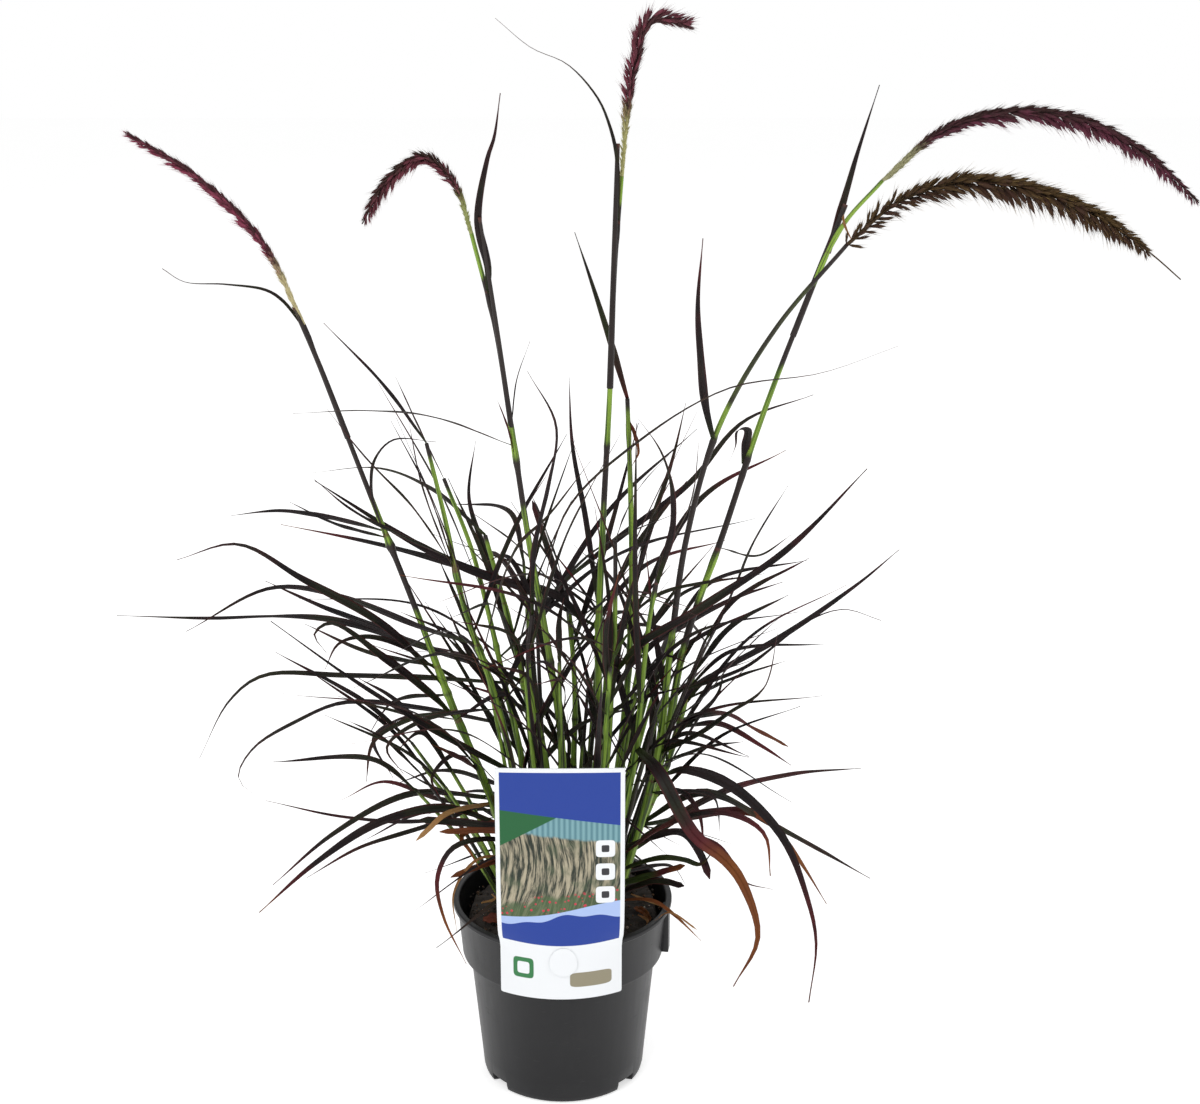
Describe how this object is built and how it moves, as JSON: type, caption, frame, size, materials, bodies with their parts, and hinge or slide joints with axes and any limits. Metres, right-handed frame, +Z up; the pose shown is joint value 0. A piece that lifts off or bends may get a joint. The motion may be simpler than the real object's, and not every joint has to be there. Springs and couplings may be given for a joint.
{
  "type": "potted ornamental grass",
  "caption": "Young purple fountain grass in a round black nursery pot, with arching dark blades, bristly plumes and a blank-text picture label.",
  "frame": {"origin": "centre of the pot's flat base", "axes": "+Z up the pot's axis; +X to the right and -Y towards the viewer, with the label on the -Y side"},
  "size_m": [0.6856, 0.3655, 0.6723],
  "materials": {
    "pot_plastic": "satin black moulded plastic",
    "soil": "damp dark potting mix",
    "crown": "fibrous old sheaths",
    "label": "printed thin plastic",
    "culm": "green stem with dark sheaths",
    "blade": "dark purple leaf with a slight sheen",
    "dry_blade": "dry rust-brown leaf",
    "plume": "soft purple-brown bristles"
  },
  "bodies": {
    "root": {"blade_back_1": "blade", "blade_back_2": "blade", "blade_flag_1": "blade", "blade_flag_2": "blade", "blade_flag_3": "blade", "blade_flag_4": "blade", "blade_flag_5": "blade", "blade_flag_7": "blade", "blade_left_1": "blade", "blade_left_10": "blade", "blade_left_11": "blade", "blade_left_12": "blade", "blade_left_13": "blade", "blade_left_14": "blade", "blade_left_15": "dry_blade", "blade_left_2": "blade", "blade_left_3": "blade", "blade_left_4": "blade", "blade_left_5": "blade", "blade_left_6": "blade", "blade_left_7": "blade", "blade_left_8": "blade", "blade_left_9": "blade", "blade_right_1": "blade", "blade_right_10": "blade", "blade_right_2": "blade", "blade_right_3": "blade", "blade_right_4": "blade", "blade_right_5": "blade", "blade_right_6": "blade", "blade_right_7": "blade", "blade_right_8": "blade", "blade_right_9": "blade", "blade_upper_1": "blade", "blade_upper_2": "blade", "blade_upper_3": "blade", "culm_1": "culm", "culm_2": "culm", "culm_3": "culm", "culm_4": "culm", "culm_5": "culm", "plant_label": "label", "plume_1": "plume", "plume_2": "plume", "plume_3": "plume", "plume_4": "plume", "plume_5": "plume", "pot": "pot_plastic", "root_crown": "crown", "shoot_1": "culm", "shoot_10": "culm", "shoot_2": "culm", "shoot_3": "culm", "shoot_4": "culm", "shoot_5": "culm", "shoot_6": "culm", "shoot_7": "culm", "shoot_8": "culm", "shoot_9": "culm", "soil": "soil"}
  },
  "joints": []
}
